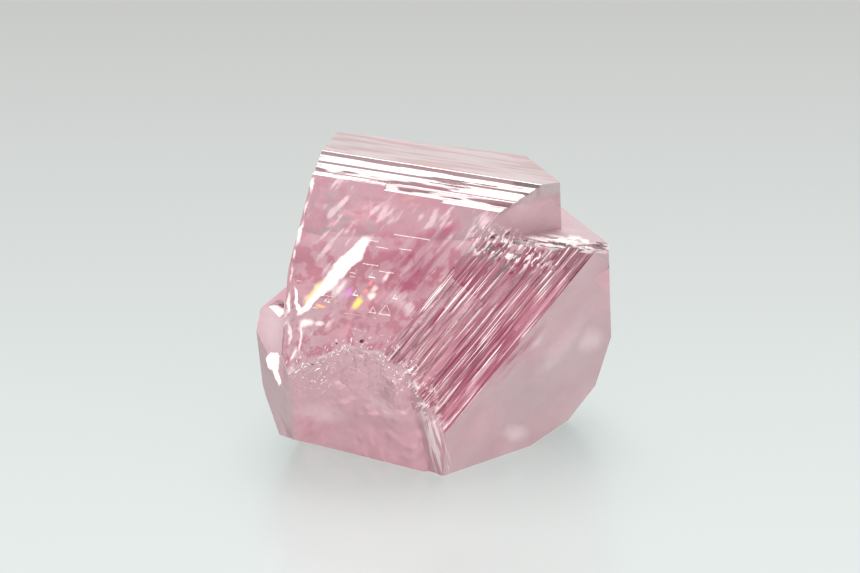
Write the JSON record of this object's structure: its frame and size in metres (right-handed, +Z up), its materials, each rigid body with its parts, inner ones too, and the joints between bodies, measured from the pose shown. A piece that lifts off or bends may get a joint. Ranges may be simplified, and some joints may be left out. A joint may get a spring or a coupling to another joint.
{
  "type": "rough diamond crystal",
  "caption": "Rough pink diamond: an octahedral crystal with stepped edges, a notched shoulder and a broken lower corner",
  "frame": {"origin": "under the middle of the stone's box, on the surface that it rests on", "axes": "+Z up, -Y toward the large front face, +X toward the notched shoulder"},
  "size_m": [0.0118, 0.0104, 0.0104],
  "materials": {
    "pink_crystal": "clear pink crystal, glossy on its faces and frosted on its breaks"
  },
  "bodies": {
    "root": {"rough_diamond": "pink_crystal"}
  },
  "joints": []
}
